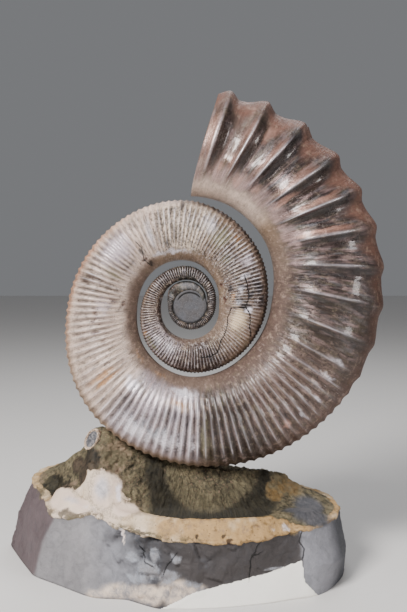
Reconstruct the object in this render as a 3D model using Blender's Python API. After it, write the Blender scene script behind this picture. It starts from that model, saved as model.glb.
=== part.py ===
"""An open-coiled ammonite fossil that stands on its block of matrix.

Lengths in the tables are millimetres and angles are degrees. The shell is one tube that winds
inwards from its aperture. A place along it is its turn: the angle wound from straight up,
clockwise as seen from the front, so a turn of 360 is one whorl in. X is right, Y is away, Z is up.
"""

import math

import bmesh
import bpy
import numpy as np
from mathutils import Matrix, Vector, noise

MM = 0.001
GAP = 0.4  # between the shell and the seat cut for it

COIL_CENTRE = (0.0, 0.0, 167.0)
COIL_LEAN = 4.0  # the coil's plane leans back
LIP_TURN = 7.7  # where the tube starts, at its outer side
END_TURN = 1170.0

# turn, outer radius in the valleys between ribs, inner radius, thickness front to back
GROWTH = [
    (0, 129.0, 68.2, 50.0),
    (15, 130.5, 67.5, 52.0),
    (45, 126.8, 62.3, 54.0),
    (90, 117.5, 50.2, 52.0),
    (135, 107.3, 45.3, 48.0),
    (180, 98.0, 43.7, 43.0),
    (225, 88.7, 38.4, 38.5),
    (270, 75.3, 32.6, 35.0),
    (315, 68.5, 31.3, 33.0),
    (360, 64.8, 27.9, 31.0),
    (405, 55.5, 21.7, 28.5),
    (450, 47.4, 18.0, 26.0),
    (495, 43.0, 19.7, 22.0),
    (540, 40.9, 20.5, 18.5),
    (585, 35.8, 19.8, 16.0),
    (630, 30.0, 17.9, 13.5),
    (675, 26.7, 17.4, 12.0),
    (720, 24.5, 16.1, 11.0),
    (765, 19.2, 13.4, 10.5),
    (810, 15.8, 10.2, 10.0),
    (900, 14.4, 10.2, 8.5),
    (990, 13.5, 10.4, 7.5),
    (1035, 16.6, 9.4, 7.5),
    (1080, 15.4, 9.1, 7.0),
    (1125, 12.6, 8.5, 6.5),
    (1170, 9.4, 5.0, 4.4),
]

# turn, spacing from rib to rib; the finest ribs stand in pairs here
RIB_SPACING = [(0, 11.3), (108, 11.3), (116, 4.0), (250, 3.9), (350, 3.6), (372, 7.6), (720, 8.0), (800, 9.0)]
RIB_HEIGHT = [
    (7, 4.8), (32, 4.4), (55, 3.2), (78, 2.2), (104, 1.6), (125, 1.1), (360, 0.8), (1000, 0.6), (1030, 0.0),
]
# how much nearer the aperture a rib's inner end lies than its outer end, and how late it bends that way
RIB_LEAN = [
    (7.7, 7.2), (13, 6.6), (21, 7.4), (32, 8.8), (45, 9.0), (56, 10.8), (67, 12.0), (78, 13.0), (90, 12.0),
    (103, 10.0), (122, 5.0), (180, 3.0), (305, 2.5), (350, 8.0), (400, 11.0), (450, 4.0), (1170, 2.0),
]
RIB_CURL = [(7.7, 1.45), (13, 1.9), (22, 1.9), (40, 1.6), (100, 1.6), (125, 1.4), (1170, 1.3)]
FIRST_CREST = 10.8
LAST_RIB = 1010.0
STRONG_RIBS_END = 112.0
STRONG_RIB = [(0.0, 1.0), (0.2, 0.22), (0.5, 0.0), (0.82, 0.35)]  # along one rib: share of spacing, of height
FINE_RIB = [(0.0, 1.0), (0.5, 0.0)]
RIB_FULL = 98.0  # ribs are whole this far round the section from its outer side
RIB_GONE = 138.0
OUTER_SIDES = 12
INNER_SIDES = 10
INNER_FROM = 372.0
LIP_WALL = 0.88  # the filling of the aperture starts inside the shell's edge
LIP_DEPTH = 5.0

DISC_RADIUS = 10.7
DISC_THICKNESS = 5.2
DISC_CHAMFER = 0.8

BLOCK_CENTRE = (-10.0, 8.0)
# the foot of the block, corner by corner from the right, towards the front and round
FOOT = [
    (99, 18, 0), (97, -8, 0), (86, -30, 0), (76, -43, 0), (66, -45, 0), (44, -53, 0), (22, -58, 0),
    (2, -60, 0), (-17, -60, 0), (-25, -55, 0), (-36, -47, 0), (-57, -45, 0), (-78, -27, 0),
    (-97, -12, 0), (-112, 18, 0), (-126, 48, 0), (-114, 76, 0), (-72, 86, 0), (-20, 84, 0), (34, 78, 0),
    (76, 58, 0), (94, 40, 0),
]
# the edge across its broken sides, corner for corner; low at the front, where the sawn face ends
WAIST = [
    (101, 19, 16), (98, -8, 14), (90, -31, 16), (78, -44, 19), (66, -40, 20.6), (44, -45, 14.6),
    (22, -51, 11), (2, -56, 8), (-15, -54, 13), (-26, -48, 17), (-40, -42, 19), (-59, -34, 21),
    (-75, -25, 20), (-91, -15, 22), (-107, 17, 22), (-118, 43, 25), (-109, 71, 24), (-72, 85, 22),
    (-20, 83, 20), (34, 77, 18), (77, 58, 17), (96, 39, 16),
]
# the edge of its upper side, corner for corner
RIM = [
    (94, 18, 40), (94, -4, 40), (86, -22, 38), (76, -32, 38), (65, -35, 37.5), (45, -49, 37),
    (23, -53, 36), (2, -52, 36), (-16, -48, 36), (-28, -42, 37), (-45, -34, 40), (-61, -22, 44),
    (-71, -22, 40), (-83, -17, 39), (-95, 8, 45), (-107, 32, 50), (-102, 60, 50), (-78, 79, 50),
    (-30, 79, 47), (30, 73, 42), (70, 55, 39.5), (88, 36, 39.5),
]
STEPS_PER_CORNER = 3
SIDE_SHARES = [0.5]  # rings between one edge and the next
FRACTURE = 0.8  # how uneven the broken sides are
FRACTURE_SEED = 5  # picks how they broke, the same way every time
TOP_RINGS = [0.05, 0.11, 0.17, 0.23, 0.3, 0.38, 0.47, 0.58, 0.75]

# the mound that holds the shell, along its crest: x, y, height, fall to the front, fall to the back
CREST = [
    (-108, 32, 50, 0.3, 0.0),
    (-92, 30, 55, 0.5, 0.05),
    (-80, 18, 64, 0.8, 0.25),
    (-66, 6, 88, 1.3, 0.5),
    (-56, 2, 91, 1.4, 0.6),
    (-40, -1, 83, 1.6, 0.5),
    (-20, -5, 75, 1.9, 0.4),
    (0, -6, 68.5, 1.5, 0.36),
    (25, -5, 65, 1.2, 0.34),
    (52, 3, 62, 1.0, 0.4),
    (74, 8, 49, 0.8, 0.3),
    (92, 6, 42, 0.4, 0.1),
]
CREST_BLEND = 5.0  # how softly the mound meets what lies round it
FLOOR = 41.5  # the rest of the upper side
FLOOR_FALL = 0.11  # towards the back
TROUGH = {"x": 11.0, "y": 11.0, "radius": 42.0, "half_width": 8.0, "depth": 9.0}
ROUGHNESS = 1.6
ROUGHNESS_SPAN = 11.0
SEAT_FROM = 120.0
SEAT_TO = 262.0
SEAT_STEP = 7.1
SEAT_SIDES = 14

SHELL_SHARP = 31.0  # edges sharper than this are left crisp
ROCK_SHARP = 26.0
SHELL_COLOUR = (0.40, 0.33, 0.29)
ROCK_COLOUR = (0.30, 0.30, 0.31)


def smooth(x, table, column=1):
    """Reads a column of a table at x, on a curve through its rows that never overshoots them."""
    xs = np.array([row[0] for row in table], float)
    ys = np.array([row[column] for row in table], float)
    x = np.clip(x, xs[0], xs[-1])
    steps = np.diff(xs)
    slopes = np.diff(ys) / steps
    before = slopes[:-1]
    after = slopes[1:]
    both = np.where(before * after > 0, before * after, 0)
    total = np.where(np.abs(before + after) > 0, before + after, 1)
    bends = np.concatenate([[0.0], 2 * both / total, [0.0]])
    i = np.clip(np.searchsorted(xs, x, side="right") - 1, 0, len(steps) - 1)
    t = (x - xs[i]) / steps[i]
    rise = ys[i + 1] - ys[i]
    return (
        ys[i]
        + rise * t * t * (3 - 2 * t)
        + steps[i] * t * (1 - t) * (bends[i] * (1 - t) - bends[i + 1] * t)
    )


def ease(x, low, high):
    t = np.clip((x - low) / (high - low), 0, 1)
    return t * t * (3 - 2 * t)


def from_coil(x, y, z):
    """A place in the coil's own plane, set upright over the block, in metres."""
    point = Matrix.Rotation(math.radians(-COIL_LEAN), 3, "X") @ Vector((x, y, z))
    return (point + Vector(COIL_CENTRE)) * MM


def section_point(turn, around, rise=0.0, spare=0.0):
    """A point of the shell, around degrees round the section from its outer side, front side first."""
    c = math.cos(math.radians(around))
    s = math.sin(math.radians(around))
    # the whole ring is sheared to follow the lean of its rib
    turn = turn - float(smooth(turn, RIB_LEAN)) * ((1 - c) / 2) ** float(smooth(turn, RIB_CURL))
    outer, inner, thickness = (float(smooth(turn, GROWTH, column)) for column in (1, 2, 3))
    half_height = (outer - inner) / 2 + spare
    half_thickness = thickness / 2 + spare
    out = Vector((c / half_height, s / half_thickness)).normalized()
    folded = min(around, 360 - around)
    rib = rise * float(1 - ease(folded, RIB_FULL, RIB_GONE))
    radius = (outer + inner) / 2 + half_height * c + rib * out.x
    depth = -(half_thickness * s + rib * out.y)
    angle = math.radians(turn)
    return from_coil(radius * math.sin(angle), depth, radius * math.cos(angle))


def section(turn, sides, rise=0.0, spare=0.0):
    return [section_point(turn, 360 * i / sides, rise, spare) for i in range(sides)]


def shell_rings():
    """The tube's rings from the aperture inwards, each on a rib's crest, side or valley."""
    rings = [section(LIP_TURN, OUTER_SIDES)]
    crest = FIRST_CREST
    while crest < LAST_RIB:
        spacing = float(smooth(crest, RIB_SPACING))
        rise = float(smooth(crest, RIB_HEIGHT))
        sides = OUTER_SIDES if crest < INNER_FROM else INNER_SIDES
        for share, height in STRONG_RIB if crest < STRONG_RIBS_END else FINE_RIB:
            rings.append(section(crest + share * spacing, sides, rise * height))
        crest += spacing
    for turn in np.linspace(crest + 4, END_TURN, 13):
        rings.append(section(float(turn), INNER_SIDES))
    return rings


def add_loft(bm, rings):
    """A closed skin over rings of points, which may differ in count, with a flat fan on each end."""
    loops = [[bm.verts.new(point) for point in ring] for ring in rings]
    for near, far in zip(loops, loops[1:]):
        i = j = 0
        while i < len(near) or j < len(far):
            if j == len(far) or (i < len(near) and (i + 1) / len(near) <= (j + 1) / len(far)):
                bm.faces.new((near[i % len(near)], near[(i + 1) % len(near)], far[j % len(far)]))
                i += 1
            else:
                bm.faces.new((near[i % len(near)], far[(j + 1) % len(far)], far[j % len(far)]))
                j += 1
    for loop in (loops[0], loops[-1]):
        middle = bm.verts.new(sum((vert.co for vert in loop), Vector()) / len(loop))
        for i in range(len(loop)):
            bm.faces.new((loop[i], loop[(i + 1) % len(loop)], middle))
    bmesh.ops.recalc_face_normals(bm, faces=bm.faces)


def aperture_rings():
    """The stone that fills the tube's mouth, set a little below the shell's edge."""
    edge = section(LIP_TURN, OUTER_SIDES)
    middle = sum(edge, Vector()) / len(edge)
    inward = (sum(section(LIP_TURN + 6, OUTER_SIDES), Vector()) / OUTER_SIDES - middle).normalized()
    face = [middle + (point - middle) * LIP_WALL for point in edge]
    return [[point + inward * LIP_DEPTH * MM for point in face], face]


def material(name, colour, roughness):
    made = bpy.data.materials.new(name)
    made.use_nodes = True
    shader = made.node_tree.nodes["Principled BSDF"]
    shader.inputs["Base Color"].default_value = (*colour, 1)
    shader.inputs["Roughness"].default_value = roughness
    shader.inputs["Metallic"].default_value = 0
    return made


def add_object(name, bm, collection, finish=None):
    mesh = bpy.data.meshes.new(name)
    bm.to_mesh(mesh)
    bm.free()
    made = bpy.data.objects.new(name, mesh)
    if finish:
        mesh.materials.append(finish)
    collection.objects.link(made)
    return made


def hide_helper(helper):
    helper.hide_render = True
    helper.display_type = "WIRE"


def add_boolean(target, other, operation):
    step = target.modifiers.new(operation.lower(), "BOOLEAN")
    step.operation = operation
    step.object = other
    step.solver = "EXACT"


def make_shell(parts, helpers):
    bm = bmesh.new()
    add_loft(bm, aperture_rings() + shell_rings())
    shell = add_object("ammonite_coil", bm, parts, material("shell", SHELL_COLOUR, 0.35))

    bm = bmesh.new()
    bmesh.ops.create_cone(
        bm,
        cap_ends=True,
        segments=20,
        radius1=DISC_RADIUS * MM,
        radius2=DISC_RADIUS * MM,
        depth=DISC_THICKNESS * MM,
    )
    rims = [edge for edge in bm.edges if abs(edge.verts[0].co.z - edge.verts[1].co.z) < 1e-6]
    bmesh.ops.bevel(bm, geom=rims, offset=DISC_CHAMFER * MM, segments=1, affect="EDGES")
    turned = Matrix.Rotation(math.radians(90 - COIL_LEAN), 4, "X")
    bmesh.ops.transform(bm, matrix=Matrix.Translation(from_coil(0, 0, 0)) @ turned, verts=bm.verts)
    disc = add_object("centre_disc", bm, helpers)
    hide_helper(disc)
    add_boolean(shell, disc, "UNION")
    return shell


def upper_side(x, y):
    """Height of the block's upper side at a place, before the seat for the shell is cut."""
    crest_y, crest_z, front, back = (float(smooth(x, CREST, column)) for column in (1, 2, 3, 4))
    mound = crest_z - (front * (crest_y - y) if y < crest_y else back * (y - crest_y))
    across = (math.hypot(x - TROUGH["x"], y - TROUGH["y"]) - TROUGH["radius"]) / TROUGH["half_width"]
    floor = FLOOR - FLOOR_FALL * y - TROUGH["depth"] * float(ease(-y, -20, 5)) * math.exp(-(across**2))
    height = (mound + floor + math.hypot(mound - floor, CREST_BLEND)) / 2
    return height + ROUGHNESS * noise.noise(Vector((x, y, 0)) / ROUGHNESS_SPAN)


def with_steps(corners):
    """The outline through the corners, with a few points along each of its straight lengths."""
    points = []
    for here, there in zip(corners, corners[1:] + corners[:1]):
        for i in range(STEPS_PER_CORNER):
            points.append(Vector(here).lerp(Vector(there), i / STEPS_PER_CORNER))
    return points


def block_rings():
    """Rings of the block from its foot up its broken sides and in over its upper side."""
    foot, waist, rim = with_steps(FOOT), with_steps(WAIST), with_steps(RIM)
    centre = Vector(BLOCK_CENTRE)
    rings = [foot]
    noise.seed_set(FRACTURE_SEED)
    for low, high in ((foot, waist), (waist, rim)):
        for share in SIDE_SHARES:
            between = [near.lerp(far, share) for near, far in zip(low, high)]
            rings.append([point + FRACTURE * noise.noise_vector(point / ROUGHNESS_SPAN) for point in between])
        rings.append(high)
    for share in TOP_RINGS:
        ring = []
        inside = float(ease(share, 0, 0.13))
        for point in rim:
            x, y = point.xy.lerp(centre, share)
            ring.append(Vector((x, y, point.z * (1 - inside) + upper_side(x, y) * inside)))
        rings.append(ring)
    return [[point * MM for point in ring] for ring in rings]


def make_block(parts, helpers):
    bm = bmesh.new()
    add_loft(bm, block_rings())
    block = add_object("matrix_block", bm, parts, material("rock", ROCK_COLOUR, 0.75))

    bm = bmesh.new()
    turns = np.arange(SEAT_FROM, SEAT_TO, SEAT_STEP)
    highest = float(smooth(SEAT_FROM, RIB_HEIGHT)) + GAP
    add_loft(bm, [section(float(turn), SEAT_SIDES, spare=highest) for turn in turns])
    seat = add_object("shell_seat", bm, helpers)
    hide_helper(seat)
    add_boolean(block, seat, "DIFFERENCE")
    return block


def clear_scene():
    for old in list(bpy.data.objects):
        bpy.data.objects.remove(old, do_unlink=True)


def main():
    clear_scene()
    parts = bpy.data.collections.new("ammonite_fossil")
    helpers = bpy.data.collections.new("cutters")
    bpy.context.scene.collection.children.link(parts)
    bpy.context.scene.collection.children.link(helpers)
    for made, sharp in ((make_shell(parts, helpers), SHELL_SHARP), (make_block(parts, helpers), ROCK_SHARP)):
        made.data.shade_smooth()
        made.data.set_sharp_from_angle(angle=math.radians(sharp))


main()
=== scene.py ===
import math

import bpy
import numpy as np
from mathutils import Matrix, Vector, noise


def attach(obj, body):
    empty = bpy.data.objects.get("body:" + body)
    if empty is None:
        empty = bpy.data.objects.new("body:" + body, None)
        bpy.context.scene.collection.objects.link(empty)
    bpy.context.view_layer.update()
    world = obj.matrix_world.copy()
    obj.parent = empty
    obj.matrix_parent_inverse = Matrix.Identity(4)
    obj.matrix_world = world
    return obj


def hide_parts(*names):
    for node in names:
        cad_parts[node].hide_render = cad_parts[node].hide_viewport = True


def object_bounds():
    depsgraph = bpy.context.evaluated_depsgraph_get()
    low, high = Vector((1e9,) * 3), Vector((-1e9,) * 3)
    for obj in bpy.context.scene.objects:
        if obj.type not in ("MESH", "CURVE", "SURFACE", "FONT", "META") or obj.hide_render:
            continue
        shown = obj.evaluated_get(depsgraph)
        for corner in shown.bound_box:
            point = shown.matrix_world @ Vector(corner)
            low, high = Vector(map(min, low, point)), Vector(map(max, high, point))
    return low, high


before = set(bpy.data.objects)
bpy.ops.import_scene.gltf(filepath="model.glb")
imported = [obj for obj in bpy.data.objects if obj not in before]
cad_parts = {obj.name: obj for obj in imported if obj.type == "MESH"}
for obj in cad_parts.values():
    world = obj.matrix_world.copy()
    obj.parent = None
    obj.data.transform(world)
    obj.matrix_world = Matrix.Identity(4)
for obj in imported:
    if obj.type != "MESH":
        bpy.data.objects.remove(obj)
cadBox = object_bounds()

# An open-coiled ammonite on its block of matrix. Lengths are millimetres and angles degrees until mm.
# A place along the shell is its turn: the angle wound in from straight up, clockwise from the front.
# A place round its section is around: 0 is the outer side, 90 the front, 180 the inner side.

mm = 0.001
boxGap = 0.05  # how far the pieces stay inside the CAD box, except at the foot
boxLow, boxHigh = np.array(cadBox[0]) / mm + (boxGap, boxGap, 0), np.array(cadBox[1]) / mm - boxGap

# how shell and rock look under the lamps, as red, green and blue out of 255
palette = {
    "rose": (146, 117, 106), "drab": (104, 93, 86), "bark": (94, 79, 71), "lilac": (212, 202, 207),
    "steel": (92, 80, 78), "ivory": (228, 211, 200), "sand": (172, 153, 136), "umber": (86, 64, 52),
    "ochre": (190, 156, 118), "slate": (78, 81, 78), "char": (48, 48, 45), "dusk": (47, 41, 46),
    "salmon": (214, 178, 164), "dust": (142, 124, 116), "moss": (150, 145, 122), "pearl": (236, 232, 238),
    "cream": (222, 206, 182), "rust": (96, 54, 36), "ash": (163, 161, 163), "clay": (158, 141, 131),
    "terracotta": (198, 164, 142), "blush": (218, 194, 192), "mist": (176, 179, 186), "soot": (30, 27, 26),
    "chalk": (245, 243, 238), "bluestone": (163, 163, 168), "slab": (128, 127, 131), "russet": (119, 93, 81),
    "plum": (129, 118, 120), "olive": (86, 82, 67), "straw": (146, 138, 117), "pitch": (44, 40, 32),
    "smoke": (106, 107, 112), "iron": (104, 100, 100), "bone": (238, 223, 208), "honey": (199, 173, 134),
    "amber": (152, 130, 94),
}


def tone(name):  # a colour of the palette in the renderer's own values, a little deeper than it shows
    flat = (c / 12.92 if c < 0.04045 else ((c + 0.055) / 1.055) ** 2.4 for c in (v / 255 for v in palette[name]))
    return tuple(min(0.9, c**1.5) for c in flat)


class Flow:  # a node's output, so that sums on it are written as Python
    def __init__(self, paint, socket):
        self.paint = paint
        self.socket = socket

    def sum(self, operation, first, second):
        return self.paint.node("ShaderNodeMath", {"operation": operation}, {0: first, 1: second})

    def __add__(self, other):
        return self.sum("ADD", self, other)

    def __sub__(self, other):
        return self.sum("SUBTRACT", self, other)

    def __rsub__(self, other):
        return self.sum("SUBTRACT", other, self)

    def __mul__(self, other):
        return self.sum("MULTIPLY", self, other)

    def __abs__(self):
        return self.sum("ABSOLUTE", self, 0.0)

    __radd__ = __add__
    __rmul__ = __mul__


class Paint:  # one material while it is wired
    def __init__(self, name, **fixed):
        self.material = bpy.data.materials.new(name)
        self.material.use_nodes = True
        self.tree = self.material.node_tree
        self.shader = self.tree.nodes["Principled BSDF"]
        for label, value in fixed.items():
            self.shader.inputs[label.replace("_", " ")].default_value = value

    def feed(self, made, links):
        for label, value in links.items():
            socket = made.inputs[label]
            if isinstance(value, Flow):
                self.tree.links.new(value.socket, socket)
            elif isinstance(value, str):
                socket.default_value = (*tone(value), 1)[:len(socket.default_value)]
            else:
                socket.default_value = value

    def node(self, kind, settings=None, links=None, out=0):
        made = self.tree.nodes.new(kind)
        for label, value in (settings or {}).items():
            setattr(made, label, value)
        self.feed(made, links or {})
        return Flow(self, made.outputs[out])

    def read(self, label, out="Fac"):
        return self.node("ShaderNodeAttribute", {"attribute_name": label}, out=out)

    def millimetres(self):  # the place on the piece
        return self.vector("MULTIPLY", self.node("ShaderNodeTexCoord", out="Object"), (1 / mm, 1 / mm, 1 / mm))

    def vector(self, operation, place, by):
        return self.node("ShaderNodeVectorMath", {"operation": operation}, {0: place, 1: by})

    def shade(self, colour, value):
        return self.node("ShaderNodeVectorMath", {"operation": "SCALE"}, {0: colour, "Scale": value})

    def grain(self, place, span, detail=3.0, harsh=0.55, warp=0.0):
        links = {"Vector": place, "Scale": 1 / span, "Detail": detail, "Roughness": harsh, "Distortion": warp}
        return self.node("ShaderNodeTexNoise", links=links)

    def cloud(self, place, span, detail=3.0, harsh=0.55, warp=0.0, seat=None, drawn=None, edges=None):
        # a noise at its own seat, drawn out along the place's axes, cut between two edges or else spread out
        place = self.vector("ADD", place, seat) if seat else place
        place = self.vector("MULTIPLY", place, drawn) if drawn else place
        made = self.grain(place, span, detail, harsh, warp)
        return self.step(made, *edges) if edges else self.spread(made)

    def clouds(self, place, rows):
        return [self.cloud(place, *row) for row in rows.values()]

    def dots(self, place, span):
        return self.node("ShaderNodeTexVoronoi", links={"Vector": place, "Scale": 1 / span}, out="Distance")

    def spread(self, value):  # a noise stretched to its full range
        return self.node("ShaderNodeMapRange", links={"Value": value, "From Min": 0.32, "From Max": 0.68})

    def step(self, value, low, high):
        return self.node("ShaderNodeMapRange", {"interpolation_type": "SMOOTHSTEP"},
                         {"Value": value, "From Min": low, "From Max": high})

    def blend(self, mask, first, second):
        return self.node("ShaderNodeMix", {"data_type": "RGBA"}, {0: mask, 6: first, 7: second}, out=2)

    def finish(self, colour, bump, height, **varying):
        normal = self.node("ShaderNodeBump", links={"Height": bump, "Distance": height * mm, "Strength": 1.0})
        self.feed(self.shader, {"Base Color": colour, "Normal": normal})
        self.feed(self.shader, {label.replace("_", " "): value for label, value in varying.items()})
        return self.material


coil = {
    "centre": (0.0, 0.0, 167.0),
    "leanBack": 4.0,
    "endTurn": 1170.0,
    # turn, outer radius in the valleys between ribs, inner radius, thickness
    "growth": [
        (0, 129, 68.2, 50), (15, 130.5, 67.5, 52), (45, 126.8, 62.3, 54), (90, 117.5, 50.2, 52),
        (135, 107.3, 45.3, 48), (180, 98, 43.7, 43), (225, 88.7, 38.4, 38.5), (270, 75.3, 32.6, 35),
        (315, 68.5, 31.3, 33), (360, 64.8, 27.9, 31), (405, 55.5, 21.7, 28.5), (450, 47.4, 18, 26),
        (495, 43, 19.7, 22), (540, 40.9, 20.5, 18.5), (585, 35.8, 19.8, 16), (630, 30, 17.9, 13.5),
        (675, 26.7, 17.4, 12), (720, 24.5, 16.1, 11), (765, 19.2, 13.4, 10.5), (810, 15.8, 10.2, 10),
        (900, 14.4, 10.2, 8.5), (990, 13.5, 10.4, 7.5), (1035, 16.6, 9.4, 7.5), (1080, 15.4, 9.1, 7),
        (1125, 12.6, 8.5, 6.5), (1170, 9.4, 5, 4.4),
    ],
    # turn, sides of a ring on the front and on the back, turn from ring to ring
    "lastWhorl": [(7.7, 56, 28, 0.36), (372, 44, 20, 0.0)],
    "innerWhorls": [(372, 44, 20, 0.42), (722, 20, 12, 0.8), (1170, 20, 12, 0.0)],
    # the plug of stone in the aperture: share of the lip's size, depth behind it
    "plug": [(0.97, 0.1), (0.93, 0.6), (0.885, 4.6), (0.84, 5.0), (0.7, 4.8), (0.5, 4.4), (0.3, 4.2), (0.12, 4.1)],
    "plugStarts": 1.0,  # the stone begins this deep
    "lipRings": 20,  # the aperture faces away from the ring this many further in
    "sideShare": 0.3,  # how much the noises on front and back differ
}

ribs = {
    # the strong ribs of the last half whorl: turn at the outer side, height
    "strong": [
        (10.8, 4.8), (21, 4.6), (32.2, 4.4), (44.5, 3.8), (55.6, 3.2), (66.6, 2.8), (78.4, 2.2), (90, 1.8),
        (102, 1.6), (112.5, 1.4),
    ],
    "fineFrom": 119.0,
    "last": 1012.0,
    "endGaps": (11.0, 40.0),  # turn from the first crest to the one before it, and past the last
    "spacing": [
        (119, 4.1), (127, 3.5), (160, 3.3), (250, 3.4), (345, 3.3), (372, 2.9), (560, 3.1), (700, 3.6), (760, 4.6),
        (1010, 5),
    ],
    "height": [(119, 1.1), (160, 1.15), (250, 1), (360, 0.8), (560, 0.62), (800, 0.5), (1000, 0.45), (1020, 0)],
    "lean": [
        (7.7, 7.2), (13, 6.6), (21, 7.4), (32, 8.8), (45, 9), (56, 10.8), (67, 12), (78, 13), (90, 12), (103, 10),
        (122, 5), (180, 3), (305, 2.5), (350, 8), (400, 11), (450, 4), (1170, 2),
    ],
    # how late towards the inside they lean
    "curl": [(7.7, 1.45), (13, 1.9), (22, 1.9), (40, 1.6), (100, 1.6), (125, 1.4), (1170, 1.3)],
    # how a rib falls and the next one rises, by share of the way between them: strong ribs, fine ribs
    "weakening": (100, 122),
    "fallTo": (0.30, 0.50),
    "fallCurve": (1.7, 1.4),
    "growFrom": (0.38, 0.50),
    "growCurve": (2.1, 1.4),
    # the strong ribs are blunt on the outer side
    "bluntness": 1.9,
    "bluntTo": (15, 60),
    "bluntUntil": (95, 115),
    "fading": (98, 138),  # ribs are whole up to the first, round the section, and gone at the second
}


def smooth(x, table, column=1):  # a column of a table at x, on a curve that never overshoots its rows
    xs = np.array([row[0] for row in table], float)
    ys = np.array([row[column] for row in table], float)
    x = np.clip(x, xs[0], xs[-1])
    steps = np.diff(xs)
    slopes = np.diff(ys) / steps
    before, after = slopes[:-1], slopes[1:]
    both = np.where(before * after > 0, before * after, 0)
    total = np.where(np.abs(before + after) > 0, before + after, 1)
    bends = np.concatenate([[0.0], 2 * both / total, [0.0]])
    i = np.clip(np.searchsorted(xs, x, side="right") - 1, 0, len(steps) - 1)
    t = (x - xs[i]) / steps[i]
    rise = ys[i + 1] - ys[i]
    return ys[i] + rise * t * t * (3 - 2 * t) + steps[i] * t * (1 - t) * (bends[i] * (1 - t) - bends[i + 1] * t)


def ease(x, low, high):
    t = np.clip((np.asarray(x, float) - low) / (high - low), 0, 1)
    return t * t * (3 - 2 * t)


def between(pair, share):  # from the first of a pair to the second
    return pair[0] + (pair[1] - pair[0]) * share


def band(x, start, stop):  # 1 between two soft edges, 0 past them
    return ease(x, *start) * (1 - ease(x, *stop))


def apart(places, middles, reaches):  # squared distance, with the reach each way as its unit
    return sum(((place - middle) / reach) ** 2 for place, middle, reach in zip(places, middles, reaches))


def rough(points, span, octaves=3, seed=0.0):  # layered noise, about -1 to 1, at points given in millimetres
    out = np.zeros(len(points))
    for i, p in enumerate(points):
        out[i] = noise.fractal(Vector((p[0] / span + seed, p[1] / span - seed, p[2] / span)), 0.9, 2.1, octaves)
    return out


def fromCoil(x, y, z):  # a place in the coil's own plane, set upright over the block
    lean = math.radians(coil["leanBack"])
    c, s = math.cos(lean), math.sin(lean)
    cx, cy, cz = coil["centre"]
    return np.stack([x + cx, y * c + z * s + cy, z * c - y * s + cz], -1)


def ribRelief(turn):  # height of the ribs, the same with blunt crests, crests from 0 to 1, the way from crest to crest
    fine = [ribs["fineFrom"]]
    while fine[-1] < ribs["last"]:
        fine.append(fine[-1] + float(smooth(fine[-1], ribs["spacing"])))
    crests = [row[0] for row in ribs["strong"]] + fine
    heights = [row[1] for row in ribs["strong"]] + [float(smooth(x, ribs["height"])) for x in fine]
    before, after = ribs["endGaps"]
    crests = np.array([crests[0] - before] + crests + [fine[-1] + after])
    heights = np.array([heights[0]] + heights + [0.0])
    i = np.clip(np.searchsorted(crests, turn, side="right") - 1, 0, len(crests) - 2)
    share = (turn - crests[i]) / (crests[i + 1] - crests[i])
    weak = ease(turn, *ribs["weakening"])
    growFrom = between(ribs["growFrom"], weak)
    fall = np.clip(1 - share / between(ribs["fallTo"], weak), 0, 1) ** between(ribs["fallCurve"], weak)
    grow = np.clip((share - growFrom) / (1 - growFrom), 0, 1) ** between(ribs["growCurve"], weak)
    bluntFall, bluntGrow = (1 - (1 - part) ** ribs["bluntness"] for part in (fall, grow))
    relief, blunt = (heights[i] * a + heights[i + 1] * b for a, b in ((fall, grow), (bluntFall, bluntGrow)))
    return relief, blunt, np.maximum(fall, grow), share


def shellSurface(turn, around, dent):  # points of the shell
    c, s = np.cos(np.radians(around)), np.sin(np.radians(around))
    relief, blunt = ribRelief(turn)[:2]
    at = turn - smooth(turn, ribs["lean"]) * ((1 - c) / 2) ** smooth(turn, ribs["curl"])
    outer, inner, thick = (smooth(at, coil["growth"], k) for k in (1, 2, 3))
    high, wide = (outer - inner) / 2, thick / 2
    nx, ny = c / high, s / wide
    size = np.hypot(nx, ny)
    folded = np.minimum(around, 360 - around)
    relief += (blunt - relief) * (1 - ease(folded, *ribs["bluntTo"])) * (1 - ease(turn, *ribs["bluntUntil"]))
    relief = relief * (1 - ease(folded, *ribs["fading"])) + dent
    radius = (outer + inner) / 2 + high * c + relief * nx / size
    depth = -(wide * s + relief * ny / size)
    angle = np.radians(at)
    return fromCoil(radius * np.sin(angle), depth, radius * np.cos(angle))


def skin(rings):  # faces over rings of vertex numbers, which may differ in count
    faces = []
    for near, far in zip(rings, rings[1:]):
        n, m = len(near), len(far)
        if n == m:
            a, b = np.asarray(near), np.asarray(far)
            faces += np.stack([a, np.roll(a, -1), np.roll(b, -1), b], -1).tolist()
            continue
        i = j = 0
        while i < n or j < m:
            if j == m or (i < n and (i + 1) / n <= (j + 1) / m):
                faces.append((near[i % n], near[(i + 1) % n], far[j % m]))
                i += 1
            else:
                faces.append((near[i % n], far[(j + 1) % m], far[j % m]))
                j += 1
    return faces


def makeMesh(name, points, faces, masks):  # a mask of one column is a value, one of three a place or a colour
    mesh = bpy.data.meshes.new(name)
    mesh.from_pydata((np.asarray(points) * mm).tolist(), [], faces)
    mesh.update()
    mesh.shade_smooth()
    for label, values in masks.items():
        values = np.asarray(values, np.float32)
        layer = mesh.attributes.new(label, "FLOAT" if values.ndim == 1 else "FLOAT_VECTOR", "POINT")
        layer.data.foreach_set("value" if values.ndim == 1 else "vector", values.ravel())
    made = bpy.data.objects.new(name, mesh)
    bpy.context.scene.collection.objects.link(made)
    return made


def closedTube(name, rows, masks):  # a mesh over rings of as many points each, closed at both ends
    count = len(rows[0])
    rings = [list(range(k * count, (k + 1) * count)) for k in range(len(rows))]
    return makeMesh(name, np.concatenate(rows), skin(rings) + [rings[0][::-1], rings[-1]], masks)


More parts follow.
